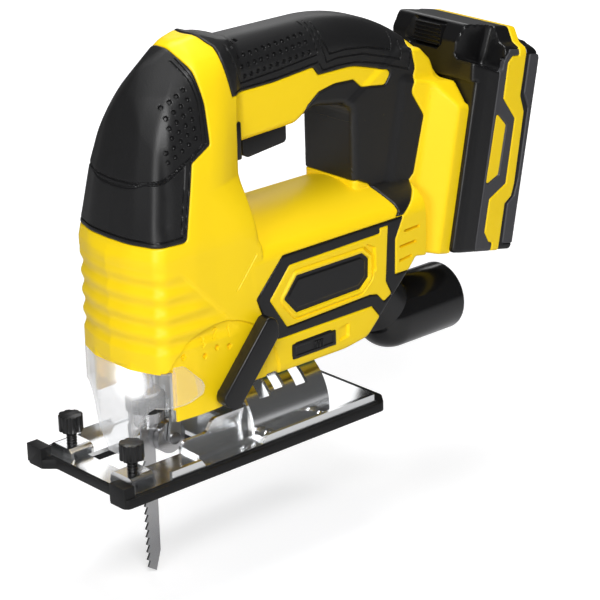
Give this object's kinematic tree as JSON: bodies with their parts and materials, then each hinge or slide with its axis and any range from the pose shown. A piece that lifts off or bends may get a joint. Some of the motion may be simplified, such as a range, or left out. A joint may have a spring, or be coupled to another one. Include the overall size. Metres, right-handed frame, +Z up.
{
  "type": "cordless jigsaw",
  "caption": "Cordless D-handle jigsaw with pendulum action, tilting sole, clear guard, dust port and slide-on battery",
  "frame": {"origin": "where the blade's centreline crosses the plane of the sole's underside, midway across the tool", "axes": "+X towards the battery, so the blade cuts towards -X; +Z up the blade; -Y is the side with the pendulum lever"},
  "size_m": [0.2717, 0.0792, 0.2593],
  "materials": {
    "shell_yellow": "satin",
    "grip_black": "fine grain",
    "plastic_black": "satin",
    "plastic_grey": "satin",
    "guard_clear": "clear",
    "steel": "bright",
    "zinc": "bright zinc",
    "alloy": "cast",
    "brass": "plain",
    "copper": "enamelled wire",
    "magnet": "plain",
    "board": "lacquered",
    "cell_wrap": "film"
  },
  "bodies": {
    "tool": {"left_housing": "shell_yellow", "right_housing": "shell_yellow", "nose_grip_left": "grip_black", "nose_grip_right": "grip_black", "handle_grip_left": "grip_black", "handle_grip_right": "grip_black", "side_bands": "grip_black", "badge_plates": "plastic_black", "housing_screws": "steel", "clear_guard": "guard_clear", "dust_port": "plastic_black", "led_lens": "guard_clear", "trigger_spring": "steel", "switch_module": "plastic_grey", "blower_bezel": "plastic_black", "pivot_pins": "steel", "gearbox_plate": "alloy", "gear_axle": "steel", "motor_can": "steel", "motor_magnets": "magnet", "bearings": "steel", "brush_holders": "brass", "circuit_board": "board", "bevel_seat": "alloy", "bevel_screw": "steel", "contact_block": "plastic_grey"},
    "carrier": {"plunger_carrier": "alloy", "plunger_bushes": "brass"},
    "ram": {"plunger": "steel", "yoke": "alloy", "blade_clamp": "steel", "blade": "steel"},
    "collar": {"clamp_collar": "plastic_black"},
    "crank": {"crank_gear": "steel"},
    "crank_pin_roller": {"crank_roller": "steel"},
    "armature": {"rotor": "copper", "armature_shaft": "steel", "pinion": "steel", "commutator": "brass", "fan": "plastic_grey"},
    "fork": {"pendulum_fork": "alloy", "roller_axle": "steel"},
    "blade_roller": {"guide_roller": "steel"},
    "lever": {"orbital_lever": "plastic_black", "lever_cam": "plastic_grey"},
    "trigger": {"trigger": "plastic_black"},
    "lock_off": {"lock_off_button": "plastic_black"},
    "blower": {"blower_slider": "plastic_black"},
    "sole": {"base_plate": "zinc", "sole_shoe": "plastic_black", "bevel_saddle": "zinc", "saddle_rivets": "steel"},
    "guide_screw_left": {"thumb_screw_left": "plastic_black"},
    "guide_screw_right": {"thumb_screw_right": "plastic_black"},
    "battery": {"battery_case": "plastic_black", "battery_band": "shell_yellow", "battery_cover": "plastic_grey", "battery_cells": "cell_wrap"},
    "battery_release": {"release_button": "plastic_black"}
  },
  "joints": [
    {"name": "carrier_swing", "type": "hinge", "parent": "tool", "child": "carrier", "pos_m": [0, 0, 0.1285], "axis": [0, 1, 0], "range_deg": [0, 1]},
    {"name": "plunger_stroke", "type": "slide", "parent": "carrier", "child": "ram", "axis": [0, 0, 1], "range_m": [0, 0.02]},
    {"name": "collar_twist", "type": "hinge", "parent": "ram", "child": "collar", "pos_m": [0, 0, 0.0295], "axis": [0, 0, 1], "range_deg": [0, 40], "stiffness_Nm_per_rad": 0.05},
    {"name": "crank_turn", "type": "hinge", "parent": "tool", "child": "crank", "pos_m": [0.018, 0, 0.1064], "axis": [1, 0, 0], "continuous": true},
    {"name": "crank_roller_turn", "type": "hinge", "parent": "crank", "child": "crank_pin_roller", "pos_m": [0.011, 0, 0.0964], "axis": [1, 0, 0], "continuous": true},
    {"name": "motor_turn", "type": "hinge", "parent": "tool", "child": "armature", "pos_m": [0.06, 0, 0.08395], "axis": [1, 0, 0], "continuous": true},
    {"name": "fork_swing", "type": "hinge", "parent": "tool", "child": "fork", "pos_m": [0.014, 0, 0.045], "axis": [0, 1, 0], "range_deg": [0, 3.2]},
    {"name": "roller_turn", "type": "hinge", "parent": "fork", "child": "blade_roller", "pos_m": [0.011, 0, 0.009], "axis": [0, 1, 0], "continuous": true},
    {"name": "orbit_select", "type": "hinge", "parent": "tool", "child": "lever", "pos_m": [0.0205, -0.0378, 0.0365], "axis": [0, -1, 0], "range_deg": [0, 48]},
    {"name": "trigger_pull", "type": "slide", "parent": "tool", "child": "trigger", "axis": [0, 0, 1], "range_m": [0, 0.005], "stiffness_N_per_m": 900, "springref_m": -0.002, "deforming": ["trigger_spring"]},
    {"name": "lock_off_push", "type": "slide", "parent": "tool", "child": "lock_off", "axis": [0, 1, 0], "range_m": [0, 0.003], "stiffness_N_per_m": 700, "springref_m": -0.001},
    {"name": "blower_slide", "type": "slide", "parent": "tool", "child": "blower", "axis": [1, 0, 0], "range_m": [-0.01, 0.005]},
    {"name": "bevel_tilt", "type": "hinge", "parent": "tool", "child": "sole", "pos_m": [0.068, 0, 0.007], "axis": [1, 0, 0], "range_deg": [-45, 45]},
    {"name": "guide_screw_left_turn", "type": "hinge", "parent": "sole", "child": "guide_screw_left", "pos_m": [-0.027, -0.023, 0.016], "axis": [0, 0, 1], "continuous": true},
    {"name": "guide_screw_right_turn", "type": "hinge", "parent": "sole", "child": "guide_screw_right", "pos_m": [-0.027, 0.023, 0.016], "axis": [0, 0, 1], "continuous": true},
    {"name": "battery_slide", "type": "slide", "parent": "tool", "child": "battery", "axis": [0.1994, 0, 0.9799], "range_m": [0, 0.085]},
    {"name": "release_push", "type": "slide", "parent": "battery", "child": "battery_release", "axis": [0.9799, 0, -0.1994], "range_m": [0, 0.004], "stiffness_N_per_m": 800, "springref_m": -0.001}
  ],
  "couplings": [
    {"joint": "motor_turn", "follows": "crank_turn", "ratio": -6},
    {"joint": "carrier_swing", "follows": "fork_swing", "ratio": 0.3}
  ]
}
